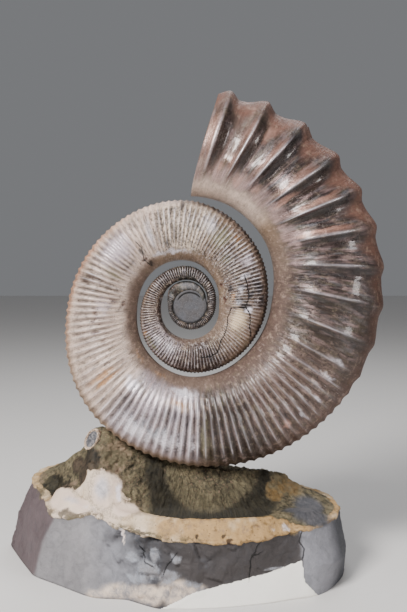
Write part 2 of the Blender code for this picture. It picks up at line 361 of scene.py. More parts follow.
# how the shell's finish changes along it: at each turn the colour of its flank, outer side and inner side
finish = {
    "flank": [
        (7, "dust"), (20, "dust"), (32, "steel"), (84, "steel"), (104, "drab"), (124, "dust"), (142, "dust"),
        (158, "drab"), (172, "drab"), (183, "lilac"), (213, "lilac"), (224, "ivory"), (335, "ivory"), (350, "bone"),
        (368, "bone"), (384, "sand"), (430, "clay"), (495, "sand"), (522, "bark"), (546, "dust"), (574, "lilac"),
        (640, "sand"), (690, "drab"), (730, "slate"), (800, "char"), (960, "char"), (1012, "slate"), (1170, "slate"),
    ],
    "venter": [
        (7, "rose"), (60, "rose"), (88, "russet"), (132, "russet"), (160, "bark"), (185, "sand"), (230, "sand"),
        (290, "terracotta"), (345, "ivory"), (372, "drab"), (450, "bark"), (540, "umber"), (600, "clay"),
        (720, "char"), (1170, "char"),
    ],
    "dorsum": [
        (7, "ivory"), (40, "ivory"), (56, "sand"), (76, "clay"), (110, "dust"), (150, "dust"), (180, "clay"),
        (300, "clay"), (345, "sand"), (540, "clay"), (600, "bark"), (640, "umber"), (720, "char"), (1170, "char"),
    ],
    # how pearly, how dark the painted shade between the ribs is, how light the painted highlight on their crests is,
    # how speckled
    "pearly": [
        (7, 1), (60, 1), (90, 0.8), (120, 0.6), (170, 0.6), (180, 1), (213, 1), (226, 0.5), (295, 0.4), (303, 0.9),
        (318, 0.8), (330, 0.4), (530, 0.3), (560, 0.6), (660, 0.3), (1170, 0),
    ],
    "valleys": [
        (7, 0.9), (60, 0.85), (120, 0.5), (150, 0.6), (170, 0.8), (180, 0.8), (215, 0.7), (226, 0.45), (262, 0.65),
        (280, 0.8), (290, 0.75), (303, 0.85), (330, 0.4), (345, 0.5), (372, 0.5), (400, 0.6), (430, 0.7), (460, 0.4),
        (530, 0.8), (660, 1), (1012, 1), (1170, 0),
    ],
    "crests": [
        (7, 1), (60, 1), (90, 0.8), (120, 0.4), (170, 0.5), (180, 0.8), (213, 0.7), (230, 0.4), (300, 0.5),
        (330, 0.3), (345, 0.6), (430, 0.9), (460, 0.5), (560, 0.5), (700, 0.7), (800, 0.4), (1012, 0.3), (1170, 0),
    ],
    "speckled": [
        (7, 0.1), (60, 0.2), (90, 0.6), (120, 0.8), (170, 0.8), (180, 0.3), (225, 0.6), (330, 0.75), (342, 1),
        (380, 0.9), (400, 1), (440, 1), (460, 0.3), (530, 0.9), (660, 0.9), (1012, 0.4), (1170, 0.1),
    ],
}
# marks of each kind: how far they stand up from the shell, then turn, around, reach along the shell in turn, reach
# around it and strength of each
marks = {
    "umber": (-0.15, [
        (47.5, 66, 2.6, 42, 0.7), (100, 44, 9, 14, 0.8), (116, 42, 6, 12, 0.7), (152, 100, 14, 40, 0.3),
        (171, 84, 1.4, 30, 0.7), (233, 134, 5, 7, 0.6), (286, 58, 4.5, 30, 0.9), (454, 128, 4, 12, 0.7),
        (468, 50, 12, 18, 0.4), (505, 106, 10, 14, 0.4), (528, 84, 9, 34, 0.8),
    ]),
    "moss": (0, [
        (53, 92, 2, 8, 0.6), (93, 80, 2, 14, 0.4), (174, 70, 2.6, 30, 0.7), (212, 112, 8, 8, 0.5),
        (242, 64, 3, 20, 0.3), (294, 96, 5, 20, 0.6), (388, 78, 7, 26, 0.9), (404, 104, 6, 14, 0.6),
        (585, 52, 14, 14, 0.8),
    ]),
    "ochre": (-0.05, [
        (188, 113, 6, 7, 0.8), (229, 78, 1.6, 22, 1), (232.5, 80, 2, 24, 0.9), (206, 146, 8, 5, 0.5),
        (228, 143, 6, 5, 0.5), (318, 100, 4, 6, 0.5), (397, 54, 3, 10, 0.7), (441, 114, 6, 4, 0.8),
        (469, 95, 3, 8, 0.5), (512, 60, 6, 14, 0.2), (600, 44, 4, 16, 0.9),
    ]),
    "cream": (0.2, [(468, 94, 13, 17, 1)]),
    "lilac": (0, [
        (203, 98, 6, 20, 0.6), (270, 96, 6, 12, 0.7), (309, 74, 10, 26, 1), (413, 68, 4, 14, 0.9),
        (708, 70, 8, 8, 0.5),
    ]),
    # salmon marks are pink-peach nacre streaks by the crests, lighter as painted glints
    "salmon": (0, [
        (26, 66, 1.2, 14, 0.8), (16, 118, 1.6, 9, 0.8), (26, 126, 3, 8, 0.7), (36, 124, 2.2, 8, 0.7),
        (47, 116, 1, 18, 0.9), (53.4, 84, 0.9, 30, 0.9), (64.6, 92, 0.8, 30, 1), (141, 60, 1.2, 6, 0.9),
    ]),
    # dusk marks are dark mottles; those up to turn 140, in the strong ribs' hollows, are painted shade
    "dusk": (-0.3, [
        (16, 78, 3.2, 26, 1), (19, 92, 2.6, 14, 1), (24, 104, 2.4, 18, 0.9), (30, 98, 1.6, 18, 0.6),
        (26.5, 82, 2.4, 18, 1.1), (34.5, 84, 2.2, 30, 0.9), (40, 118, 3, 12, 0.5), (51.5, 110, 2.6, 16, 0.9),
        (59, 92, 3, 26, 0.9), (68.5, 78, 2, 16, 0.7), (72, 92, 4, 30, 0.45), (80.5, 72, 2, 16, 0.9),
        (84, 96, 4, 26, 0.5), (94, 92, 4.5, 24, 0.6), (106, 92, 5, 26, 0.6), (119, 84, 3, 22, 0.5),
        (140, 70, 2, 10, 0.7), (183, 96, 2.4, 22, 0.6), (190, 100, 6, 14, 0.4), (214, 84, 3, 20, 0.5),
        (262, 150, 14, 7, 0.35), (308, 113, 7, 5, 0.7), (321, 108, 3, 8, 0.9), (323, 143, 2, 7, 0.9),
        (345, 112, 5, 12, 0.7), (342, 72, 5, 14, 0.5), (352, 96, 4, 20, 0.6), (357, 36, 1.8, 16, 1),
        (351, 50, 3, 12, 0.6), (362, 76, 2, 12, 0.7), (369, 80, 3.6, 7, 0.9), (404, 100, 3, 5, 0.6),
        (436, 56, 10, 14, 0.9), (441, 72, 3, 8, 1.1), (433, 92, 3, 7, 1.1), (445, 44, 6, 10, 1), (446, 88, 3, 12, 1),
        (452.5, 84, 4.2, 13, 1.7), (430, 124, 3, 10, 1.1), (517, 70, 3, 18, 0.7), (663, 92, 11, 7, 0.8),
        (700, 120, 24, 14, 0.7),
    ]),
    "rust": (-0.5, [
        (254.5, 88, 0.9, 4, 1), (261.3, 84, 1.5, 5, 1), (266.5, 81, 1.6, 3.5, 0.9), (248.5, 98, 1.3, 4, 0.8),
        (270, 82, 1.2, 3, 0.7), (274.5, 113, 1.6, 7, 0.9), (273, 132, 3, 5, 0.8), (319, 126, 5, 4, 0.8),
        (436, 81, 7, 3, 1.1), (424, 146, 3, 5, 1), (443, 145, 7, 4, 1), (625, 137, 14, 6, 0.7),
    ]),
    # mist marks are painted glints, blue-white
    "mist": (0, [(28.8, 82, 0.5, 14, 0.7), (99, 92, 2.4, 10, 0.3), (198, 70, 12, 8, 0.7), (448, 98, 3, 8, 0.9)]),
    # blush marks are painted glints, pale pink, near the inner side
    "blush": (0, [
        (67.5, 124, 1.8, 9, 0.9), (59, 132, 3, 5, 0.7), (46, 128, 2.6, 8, 0.8), (32, 122, 1.6, 12, 0.7),
        (77, 126, 2, 8, 0.8),
    ]),
    # pearl marks are painted highlights
    "pearl": (0, [
        (112, 62, 0.8, 8, 1), (118, 63, 0.8, 9, 0.9), (127, 60, 0.7, 8, 0.9), (134, 62, 0.6, 9, 0.8),
        (191, 60, 6, 12, 0.8), (204, 58, 7, 13, 0.9), (179, 62, 1.2, 10, 0.8), (187, 131, 9, 6, 0.9),
        (219, 108, 6, 8, 0.9), (333, 92, 3, 30, 0.5), (352, 134, 14, 5, 0.8), (336, 132, 8, 4, 0.8),
        (376, 66, 5, 20, 0.6), (425, 82, 2, 14, 0.8), (456, 76, 2, 9, 1.1), (436, 96, 4, 8, 0.7),
        (566, 92, 9, 24, 0.5), (584, 86, 8, 20, 0.5), (668, 72, 7, 8, 0.4),
    ]),
    "dust": (0.8, [(34.4, 14, 1.5, 14, 1), (33.2, 32, 1.2, 9, 0.9)]),
}
# broad dents: turn, around, reach in turn, reach around, depth
dents = [(17.2, 80, 3.6, 26, 2.0), (20.0, 96, 2.6, 12, 0.8), (323, 143, 3.0, 7, 0.8), (274, 114, 2.0, 7, 0.6),
         (452.5, 84, 2.4, 10, 0.5), (468, 94, 14, 18, -0.4)]
# cracks, each a line of turn and around
cracks = [
    [(453, 86), (455, 120), (470, 125), (500, 105), (510, 82), (518, 78), (528, 84)],
    [(452, 85), (459, 72), (470, 60), (478, 40)],
    [(321.5, 88), (322.5, 104), (318, 124), (319.5, 150)],
    [(425, 84), (432, 82), (442, 79), (450, 84)],
]
# where the zones of the shell's finish lie, and how its marks spread
shellZones = {
    # where each softly begins or ends, round the section
    "venterTo": (22, 48), "dorsumFrom": (124, 146), "flankFrom": (30, 54), "flankTo": (128, 146),
    "calmFrom": (120, 140), "shoulderHighlight": ((36, 50), (64, 84)), "innerGlint": ((106, 122), (134, 144)),
    "risingHighlightFrom": (44, 70), "crestHighlightFrom": (30, 66),
    "backFrom": (0.0, 0.8),  # as the sine of the angle
    # along the shell
    "fineFrom": (108, 122), "dipUntil": (50, 110), "leadUntil": (60, 84), "weatheredFrom": (332, 345),
    # from one rib to the next
    # the first stretch gets painted shade past each strong crest, the second a painted highlight before the next crest
    "shadedFall": ((0.0, 0.09), (0.26, 0.5)), "risingHighlight": ((0.55, 0.92), (0.985, 1.0)),
    "innerGlintShare": ((0.2, 0.5), (0.85, 1.0)),
    "dip": 26.0,  # how far in the matt outer side reaches between the strong ribs
    "backShift": 31.0,  # the back has the same marks this much further on
    "crestHighlightShift": 14.0,  # the strong ribs' painted crest highlights begin this much further in
    "swing": 2.4, "sway": 7.0,  # how far the marks stray along the shell and round it, in millimetres and degrees
    "fall": 0.8,  # how fast a mark falls off from its middle
    "stands": (0.42, 0.6),  # a mark stands up where it is this strong
    "crackFades": (2.0, 4.0),
}


def smoothTones(turn, rows):  # colours along the shell from a table of turn and palette name
    colours = [(row[0], *tone(row[1])) for row in rows]
    return np.stack([smooth(turn, colours, k) for k in (1, 2, 3)], -1)


def windings(turn, around):  # millimetres along the shell, around it, and a little for which side of it
    arcs = np.arange(0.0, coil["endTurn"] + 40, 2.0)
    gone = np.concatenate([[0], np.cumsum(smooth(arcs[:-1], coil["growth"]) * math.radians(2.0))])
    half = (smooth(turn, coil["growth"]) - smooth(turn, coil["growth"], 2)) / 2
    folded = np.minimum(around, 360 - around)
    sideways = coil["sideShare"] * half * np.sin(np.radians(around))
    return np.column_stack([np.interp(turn, arcs, gone), np.radians(folded) * half, sideways])


def aside(x, y, line):  # distance to a line of points, to its left or right by sign
    nearest = np.full(len(x), 1e6)
    for (x0, y0), (x1, y1) in zip(line, line[1:]):
        dx, dy = x1 - x0, y1 - y0
        t = np.clip(((x - x0) * dx + (y - y0) * dy) / (dx * dx + dy * dy), 0, 1)
        away = np.hypot(x - x0 - t * dx, y - y0 - t * dy)
        side = np.where((x - x0) * dy - (y - y0) * dx > 0, 1.0, -1.0)
        nearest = np.where(away < np.abs(nearest), away * side, nearest)
    return nearest


def crackMasks(distances, fades):  # signed distance to the nearest crack, and whether one is near
    nearest = distances[0]
    for away in distances[1:]:
        nearest = np.where(np.abs(away) < np.abs(nearest), away, nearest)
    return {"crack": np.clip(nearest, -4.0, 4.0), "crackNear": 1 - ease(np.abs(nearest), *fades)}


def toCrack(shown, folded, line):  # distance to a crack of the shell, at the scale of where it starts
    outer, inner = (float(smooth(line[0][0], coil["growth"], k)) for k in (1, 2))
    along, up = math.radians(outer) * 0.8, math.radians((outer - inner) / 2)
    return aside(shown * along, folded * up, [(t * along, r * up) for t, r in line])


def shellFinish(turn, around):  # the masks and the dents of a stretch of shell
    zone = shellZones
    folded = np.minimum(around, 360 - around)
    shown = turn + zone["backShift"] * ease(-np.sin(np.radians(around)), *zone["backFrom"])
    place = windings(turn, around)
    broken = rough(place, 4.5, 3)
    swing = rough(place, 7.0, 3, 11.0) * zone["swing"] / (smooth(shown, coil["growth"]) * math.radians(1))
    sway = rough(place, 7.0, 3, 23.0) * zone["sway"]
    crest, share = ribRelief(turn)[2:]
    dip = zone["dip"] * np.sin(np.pi * share) ** 2 * (1 - ease(turn, *zone["dipUntil"]))
    strayed = folded - dip + sway * 0.5
    outerSide, innerSide = 1 - ease(strayed, *zone["venterTo"]), ease(folded + sway * 0.6, *zone["dorsumFrom"])
    ground = smoothTones(shown, finish["flank"])
    for name, part in (("venter", outerSide), ("dorsum", innerSide)):
        ground += (smoothTones(shown, finish[name]) - ground) * part[:, None]
    whole = 1 - ease(folded, *ribs["fading"])
    flank = ease(strayed, *zone["flankFrom"]) * (1 - ease(folded, *zone["flankTo"]))
    strong = 1 - ease(turn, *zone["fineFrom"])
    lead = ease(turn, *zone["leadUntil"])
    crests, speckled = smooth(shown, finish["crests"]), smooth(shown, finish["speckled"]) * (0.4 + 0.6 * flank)
    # painted shade: dark on the falling side past each strong crest and in the valleys between the fine ribs
    hollow = band(share, *zone["shadedFall"]) * strong + (1 - crest) ** 1.5 * (1 - strong)
    # pink nacre on the rising side before each strong crest, lighter there as painted highlight
    risingHighlight = band(share, *zone["risingHighlight"]) * strong * ease(folded, *zone["risingHighlightFrom"])
    # painted highlight: a thin light line along each crest
    crestHighlight = crest ** (4 + 8 * strong) * ease(folded - zone["crestHighlightShift"] * strong, *zone["crestHighlightFrom"])
    masks = {
        # painted shade between the ribs
        "hollow": hollow * smooth(shown, finish["valleys"]) * whole * (0.35 + 0.65 * flank),
        # painted highlight on the crests
        "crest": crestHighlight * crests * whole,
        # painted highlight on the crests of the outer flank
        "shoulderHighlight": band(folded, *zone["shoulderHighlight"]) * crests * crest**2 * (1 - strong),
        # painted glint near the inner side
        "innerGlint": band(folded, *zone["innerGlint"]) * (1 - ease(shown, *zone["leadUntil"])),
        # painted highlight on the rising side, with its pink colour
        "risingHighlight": risingHighlight * whole * (1 - 0.8 * lead),
        "pearly": smooth(shown, finish["pearly"]) * flank,
        "speckled": speckled,
        "weathered": speckled * ease(turn, *zone["weatheredFrom"]),
        "stone": np.zeros(len(turn)),
        "strong": strong,
        "calm": ease(folded + sway * 0.6, *zone["calmFrom"]),
        "ground": ground,
        "windings": place,
    }
    masks["innerGlint"] *= 0.35 + 0.65 * band(share, *zone["innerGlintShare"])
    masks.update(crackMasks([toCrack(shown, folded, line) for line in cracks], zone["crackFades"]))
    dent = rough(place * (1, 0.12, 0.12), 1.7, 2, 3.0) * 0.07
    for kind, (height, rows) in marks.items():
        masks[kind] = np.zeros(len(turn))
        for *middle, reachTurn, reachAround, strength in rows:
            away = apart((shown + swing, folded + sway), middle, (reachTurn, reachAround))
            masks[kind] = np.maximum(masks[kind], strength * np.exp(-zone["fall"] * away))
        dent += height * ease(masks[kind] + broken * 0.35, *zone["stands"])
    for *middle, reachTurn, reachAround, depth in dents:
        dent -= depth * np.exp(-(apart((shown, folded), middle, (reachTurn, reachAround)) ** 2))
    return masks, dent


def ringAngles(front, back):  # angles round the section, for so many sides on its front and its back
    return np.concatenate([np.arange(front) * 180 / front, 180 + np.arange(back) * 180 / back])


def tubeSteps(rows):  # turn and ring of angles for each ring of a stretch of the tube
    steps = []
    for (start, front, back, step), (stop, *_) in zip(rows, rows[1:]):
        count = round((stop - start) / step)
        steps += [(start + (stop - start) * k / count, ringAngles(front, back)) for k in range(count)]
    stop, front, back, _ = rows[-1]
    return steps + [(stop, ringAngles(front, back))]


def windTube(name, rows, plug=()):  # one stretch of the shell, closed by its plug of stone or else at its far end
    steps = tubeSteps(rows)
    turn = np.concatenate([np.full(len(ring), t) for t, ring in steps])
    around = np.concatenate([ring for _, ring in steps])
    masks, dent = shellFinish(turn, around)
    points = np.clip(shellSurface(turn, around, dent), boxLow, boxHigh)
    firsts = np.cumsum([0] + [len(ring) for _, ring in steps])
    rings = [list(range(first, last)) for first, last in zip(firsts, firsts[1:])]
    lip = points[rings[0]]
    inward = points[rings[coil["lipRings"]]].mean(0) - lip.mean(0)
    inward /= np.linalg.norm(inward)
    for share, sink in plug:
        rings.insert(0, [len(points) + k for k in range(len(lip))])
        flat = lip.mean(0) + (lip - lip.mean(0)) * share + inward * sink
        points = np.concatenate([points, flat + np.outer(rough(flat, 4.0), inward) * min(0.5, sink * 0.1)])
        isStone = float(sink > coil["plugStarts"])
        masks = {label: np.concatenate([values, values[:len(lip)] * (1 - isStone)]) for label, values in masks.items()}
        masks["stone"][-len(lip):] = isStone
        masks["ground"][-len(lip):] = tone("clay")
        masks["windings"][-len(lip):] = flat
    faces = skin(rings) + [rings[0][::-1] if plug else rings[-1]]
    print("shell:", name, len(faces), "faces")
    return makeMesh(name, points, faces, masks)


print("shell: winding the tube")
lastWhorl = windTube("lastWhorl", coil["lastWhorl"], coil["plug"])
innerWhorls = windTube("innerWhorls", coil["innerWhorls"])

# noises of a finish: span, detail, harshness, warp, seat, how it is drawn out, the edges it is cut between
nacreNoises = {
    "clouds": (12, 4),
    "mottle": (2.6, 5, 0.7, 0.15, (31, 7, 5)),
    "pepper": (0.9, 4, 0.75, 0, (3, 9, 1)),
    "lines": (1.2, 4, 0.65, 0, None, (1, 0.10, 0.10)),
    "threads": (0.7, 3, 0.6, 0.1, (0, 0, 13), (1, 0.16, 0.16)),
    "streaks": (3.2, 5, 0.7, 0.15, (0, 50, 0), (1, 0.22, 0.22)),
    "blotches": (5.5, 6, 0.72, 0.1, (71, 3, 2), None, (0.51, 0.62)),
    "veils": (4.5, 6, 0.72, 0, (5, 83, 2), None, (0.50, 0.68)),
    "crumbs": (1.5, 4, 0.8, 0.3, (17, 5, 29), None, (0.50, 0.58)),
    "flecks": (2.4, 5, 0.8, 0.3, (47, 15, 9), None, (0.52, 0.60)),
}
nacreLook = {
    # painted sheen of the pearly parts, the nacre's colour play set as fixed tints: colour, seat of its noise, cover
    "sheenTints": [("blush", (9, 0, 0), 0.34), ("mist", (0, 23, 0), 0.22), ("moss", (0, 0, 41), 0.25)],
    # how much each layer covers at most, among them the painted shade between the ribs and the painted highlights and
    # glints on them
    "veils": 0.35, "flecks": 0.6, "hollow": 0.92, "risingHighlight": 0.5, "innerGlint": 0.65, "marks": 0.88, "shoulderHighlight": 0.8,
    "specks": 0.8, "crack": 0.95,
    # what the strong ribs take from the cover of the marks, and which kinds they fade more
    "fading": 0.24, "fadingMore": 0.40, "fadedMore": ("dusk", "mist", "pearl"),
    "bump": 0.32,
}


def nacre():
    look = nacreLook
    p = Paint("nacre", Coat_Roughness=0.12, Coat_IOR=1.5, Specular_IOR_Level=0.35)
    place = p.read("windings", "Vector")
    clouds, mottle, pepper, lines, threads, streaks, blotches, veils, crumbs, flecks = p.clouds(place, nacreNoises)
    pearly, crest, stone, strong, calm = (p.read(label) for label in ("pearly", "crest", "stone", "strong", "calm"))
    speckled, weathered = p.read("speckled"), p.read("weathered")
    lively = 1 - calm * 0.2 - strong * (1 - calm) * 0.50
    deep = p.blend(mottle, "soot", "umber")
    uneven = (clouds * 0.30 + mottle * 0.50 - 0.34) * lively + lines * (0.44 - calm * 0.26)
    colour = p.shade(p.read("ground", "Vector"), 0.60 + uneven)
    colour = p.blend(blotches * (0.20 + speckled * 0.35) * lively, colour, p.blend(clouds, "umber", "moss"))
    colour = p.blend(veils * look["veils"] * lively, colour, p.blend(mottle, "cream", "blush"))
    # painted sheen: fixed pink, blue-grey and green tints over the pearly parts
    for sheenTint, seat, cover in look["sheenTints"]:
        patch = p.cloud(place, 3, 3, 0.5, 0.1, seat, (1, 0.25, 0.25), (0.46, 0.72))
        colour = p.blend(patch * pearly * cover, colour, sheenTint)
    gritty = p.step(speckled, 0.45, 1.0) * 0.25 + weathered * 0.65
    colour = p.blend(crumbs * gritty, colour, p.blend(clouds, "umber", "soot"))
    colour = p.blend(flecks * weathered * look["flecks"], colour, p.blend(clouds, "pearl", "cream"))
    grime = p.step(threads * 0.6 + mottle * 0.5 - crest * 0.3, 0.50, 0.85)
    colour = p.blend(grime * (0.15 + speckled * 0.55) * lively, colour, deep)
    # painted shade between the ribs, in soot, umber and dusk
    hollow = p.step(p.read("hollow") + (streaks * 0.30 - 0.15) * (1 - strong * 0.6), 0.05, 0.95)
    colour = p.blend(hollow * (look["hollow"] - strong * 0.17), colour, p.blend(strong * 0.4, deep, "dusk"))
    # rose and salmon nacre on the rising side of the strong ribs, lighter there as painted highlight
    risingHighlight = p.step(p.read("risingHighlight") + streaks * 0.4 - 0.30, 0.10, 1.15)
    colour = p.blend(risingHighlight * look["risingHighlight"], colour, p.blend(clouds * 0.5 + lines * 0.5, "rose", "salmon"))
    # painted glint: a pale pink band of light on the flank near the inner side
    innerGlint = p.step(p.read("innerGlint") + streaks * 0.4 - 0.25, 0.15, 1.15)
    colour = p.blend(innerGlint * look["innerGlint"], colour, p.blend(lines * 0.6 + clouds * 0.4, "dust", "blush"))
    ragged = (streaks * 0.45 + mottle * 0.3 - 0.38) * (1 - strong * 0.65)
    # each kind of mark in its colour; the mist, blush and pearl marks are painted glints and highlights, the salmon
    # marks partly so, the dusk marks of the strong ribs painted shade
    for kind in marks:
        mark = p.step(p.read(kind) + ragged, 0.12, 1.0 + strong * 0.2)
        fading = look["fadingMore" if kind in look["fadedMore"] else "fading"]
        colour = p.blend(mark * (look["marks"] - strong * fading), colour, kind)
    # painted highlight: pearl bands along the crests on the outer flank
    shoulderHighlight = p.step(p.read("shoulderHighlight") + lines * 0.5 - 0.25, 0.3, 0.9)
    colour = p.blend(shoulderHighlight * look["shoulderHighlight"], colour, "pearl")
    specks = p.step(pepper * 0.55 + mottle * 0.25 + speckled * 0.22, 0.66, 0.80)
    colour = p.blend(specks * look["specks"], colour, "soot")
    # painted highlight along the crests, in pearl
    colour = p.blend(crest * (0.35 + lines * 0.5), colour, "pearl")
    crack = (1 - p.step(abs(p.read("crack") + mottle * 0.7 - 0.35), 0.18, 0.5)) * p.read("crackNear")
    colour = p.blend(crack * look["crack"], colour, "soot")
    colour = p.blend(stone, colour, p.blend(mottle, "clay", "olive"))
    dull = p.read("cream") + p.read("ochre") + p.read("rust") + specks + blotches * 0.6 + stone * 2.0
    roughness = 0.50 - pearly * 0.30 + mottle * 0.14 + dull * 0.12
    bump = lines * 0.25 + mottle * 0.28 + streaks * 0.2 + threads * 0.14 - specks * 0.4 - crack * 1.2
    return p.finish(colour, bump, look["bump"], Roughness=roughness, Metallic=pearly * 0.35 * (1 - stone),
                    Coat_Weight=pearly * 0.35 + crest * 0.2)


shellMaterial = nacre()
for piece in (lastWhorl, innerWhorls):
    piece.data.materials.append(shellMaterial)

heart = {
    "radius": 10.7,
    "thickness": 5.2,
    "chamfer": 0.8,
    "chamferDepth": 0.77,
    "smallestRing": 0.35,
    # arcs cut in its face: radius, depth, from and to in degrees from straight up
    "arcs": [(8.2, 0.7, -75, 62), (10.1, 0.3, 90, 400), (6.0, 0.05, 120, 300)],
    "arcWide": 0.42,
    "arcEnds": 25,  # an arc fades out over this many degrees
    "unevenness": 0.06,
    "around": 120,
    "rings": 48,
}


def makeHeart():  # the disc of stone that fills the coil's middle
    rows, grooves = [], []
    radii = np.linspace(heart["smallestRing"], heart["radius"], heart["rings"])
    angles = np.arange(heart["around"]) * 2 * math.pi / heart["around"]
    ends = heart["arcEnds"]
    for side in (-1, 1):
        for radius in radii[::-side]:
            past = max(0.0, radius - heart["radius"] + heart["chamfer"]) / heart["chamfer"]
            sink = heart["chamferDepth"] * past**2
            groove = np.zeros(len(angles))
            for arc, depth, start, stop in heart["arcs"]:
                here = band((np.degrees(angles) - start) % 360, (0, ends), (stop - start - ends, stop - start))
                groove += depth * np.exp(-(((radius - arc) / heart["arcWide"]) ** 2)) * here
            deep = side * (heart["thickness"] / 2 - sink - groove)
            flat = np.column_stack([radius * np.sin(angles), deep, radius * np.cos(angles)])
            flat[:, 1] += side * heart["unevenness"] * rough(flat, 1.6, 2)
            rows.append(fromCoil(*flat.T))
            # a groove's depth also sets how much painted shade it gets
            grooves.append(np.clip(groove * 1.8, 0, 1))
    return closedTube("heartDisc", rows, {"groove": np.concatenate(grooves)})


def greyHeart():
    p = Paint("heartStone")
    place = p.millimetres()
    mottle = p.grain(place, 1.6, 4.0, 0.65, 0.3)
    clouds = p.grain(place, 7.0, 3.0)
    colour = p.blend(p.spread(clouds), "iron", "smoke")
    colour = p.shade(colour, 0.84 + p.spread(mottle) * 0.5)
    specks = 1 - p.step(p.dots(place, 1.1), 0.12, 0.25)
    colour = p.blend(specks * 0.4, colour, "ash")
    # painted shade: the grooves darkened to soot
    colour = p.blend(p.step(p.read("groove") + mottle * 0.6, 0.5, 1.1), colour, "soot")
    return p.finish(colour, mottle - specks * 0.4, 0.2, Roughness=0.62 + mottle * 0.2)


print("heart: turning the disc")
heartDisc = makeHeart()
heartDisc.data.materials.append(greyHeart())

block = {
    "middle": (-10.0, 8.0),
    # corners of its foot, of the edge across its sides and of its upper edge, from the right round by the front
    "foot": [
        (99, 18, 0), (97, -8, 0), (86, -30, 0), (76, -43, 0), (66, -45, 0), (44, -53, 0), (22, -58, 0), (2, -60, 0),
        (-17, -60, 0), (-25, -55, 0), (-36, -47, 0), (-57, -45, 0), (-78, -27, 0), (-97, -12, 0), (-112, 18, 0),
        (-126, 48, 0), (-114, 76, 0), (-72, 86, 0), (-20, 84, 0), (34, 78, 0), (76, 58, 0), (94, 40, 0),
    ],
    "waist": [
        (101, 19, 16), (98, -8, 14), (90, -31, 16), (78, -44, 19), (66, -40, 20.6), (44, -45, 14.6), (22, -51, 11),
        (2, -56, 8), (-15, -54, 13), (-26, -48, 17), (-40, -42, 19), (-59, -34, 21), (-75, -25, 20), (-91, -15, 22),
        (-107, 17, 22), (-118, 43, 25), (-109, 71, 24), (-72, 85, 22), (-20, 83, 20), (34, 77, 18), (77, 58, 17),
        (96, 39, 16),
    ],
    "rim": [
        (94, 18, 40), (94, -4, 40), (86, -22, 38), (76, -32, 38), (65, -35, 37.5), (45, -49, 37), (23, -53, 36),
        (2, -52, 36), (-16, -48, 36), (-28, -42, 37), (-45, -34, 40), (-61, -22, 44), (-71, -22, 40), (-83, -17, 39),
        (-95, 8, 45), (-107, 32, 50), (-102, 60, 50), (-78, 79, 50), (-30, 79, 47), (30, 73, 42), (70, 55, 39.5),
        (88, 36, 39.5),
    ],
    # the mound along its crest: x, y, height, fall to the front, fall to the back
    "crest": [
        (-108, 32, 50, 0.3, 0), (-92, 30, 55, 0.5, 0.05), (-82, 19, 64, 0.8, 0.25), (-75, 13, 70.5, 1, 0.35),
        (-69.5, 8, 75, 1.2, 0.45), (-66, 6, 79, 1.3, 0.5), (-62, 4, 88.5, 1.35, 0.55), (-56, 2, 91, 1.4, 0.6),
        (-40, -1, 83, 1.6, 0.5), (-20, -5, 75, 1.9, 0.4), (0, -6, 68.5, 1.5, 0.36), (25, -5, 65, 1.2, 0.34),
        (52, 3, 62, 1, 0.4), (74, 8, 49, 0.8, 0.3), (92, 6, 42, 0.4, 0.1),
    ],
    "crestBlend": 5.0,
    "swell": ((20.0, 13.0), (24.0, 9.0), 4.5),  # behind the crest: middle, reach, height
    "floor": 41.5,
    "floorFall": 0.11,
    "trough": {"x": 11.0, "y": 11.0, "radius": 42.0, "halfWidth": 8.0, "depth": 9.0, "from": (-20, 5),
               "striaeAt": 30.5, "striaeWide": 4.0},
    "around": 640,
    "sideRings": (16, 26),
    "topRings": 96,
    "topSpacing": 1.25,  # above 1 sets its rings closer by the rim
    "rimBlend": 0.13,  # the rim's own height is left behind over this share of the way in
    "seatSpare": 0.4,
    "seatTurns": (115, 268),
}


def troughShare(x, y):  # how deep in the trough, from 0 to 1
    t = block["trough"]
    across = (np.hypot(x - t["x"], y - t["y"]) - t["radius"]) / t["halfWidth"]
    return ease(-y, *t["from"]) * np.exp(-(across**2))


def upperSide(x, y):  # height of the block's upper side, before the shell's seat
    crestY, crestZ, front, back = (smooth(x, block["crest"], k) for k in (1, 2, 3, 4))
    mound = crestZ - np.where(y < crestY, front * (crestY - y), back * (y - crestY))
    floor = block["floor"] - block["floorFall"] * y - block["trough"]["depth"] * troughShare(x, y)
    middle, reaches, height = block["swell"]
    swell = height * np.exp(-apart((x, y), middle, reaches))
    return (mound + floor + np.hypot(mound - floor, block["crestBlend"])) / 2 + swell


def alongCorners(corners, places):
    corners = np.array(corners + corners[:1], float)
    return np.stack([np.interp(places, np.arange(len(corners)), corners[:, k]) for k in range(3)], -1)

def seat(points):  # moves the points that lie in the shell out to its surface, away from the coil's middle
    lean = math.radians(coil["leanBack"])
    c, s = math.cos(lean), math.sin(lean)
    x, y, z = (points - coil["centre"]).T
    deep, up = y * c - z * s, z * c + y * s
    radius = np.hypot(x, up)
    turn = np.degrees(np.arctan2(x, up)) % 360
    outer, inner, thick = (smooth(turn, coil["growth"], k) for k in (1, 2, 3))
    middle, high, wide = (outer + inner) / 2, (outer - inner) / 2 + block["seatSpare"], thick / 2 + block["seatSpare"]
    first, last = block["seatTurns"]
    within = (((radius - middle) / high) ** 2 + (deep / wide) ** 2 < 1) & (turn > first) & (turn < last)
    to = np.where(within, middle + high * np.sqrt(1 - np.clip(deep / wide, -1, 1) ** 2), radius)
    return fromCoil(x * to / radius, deep, up * to / radius)


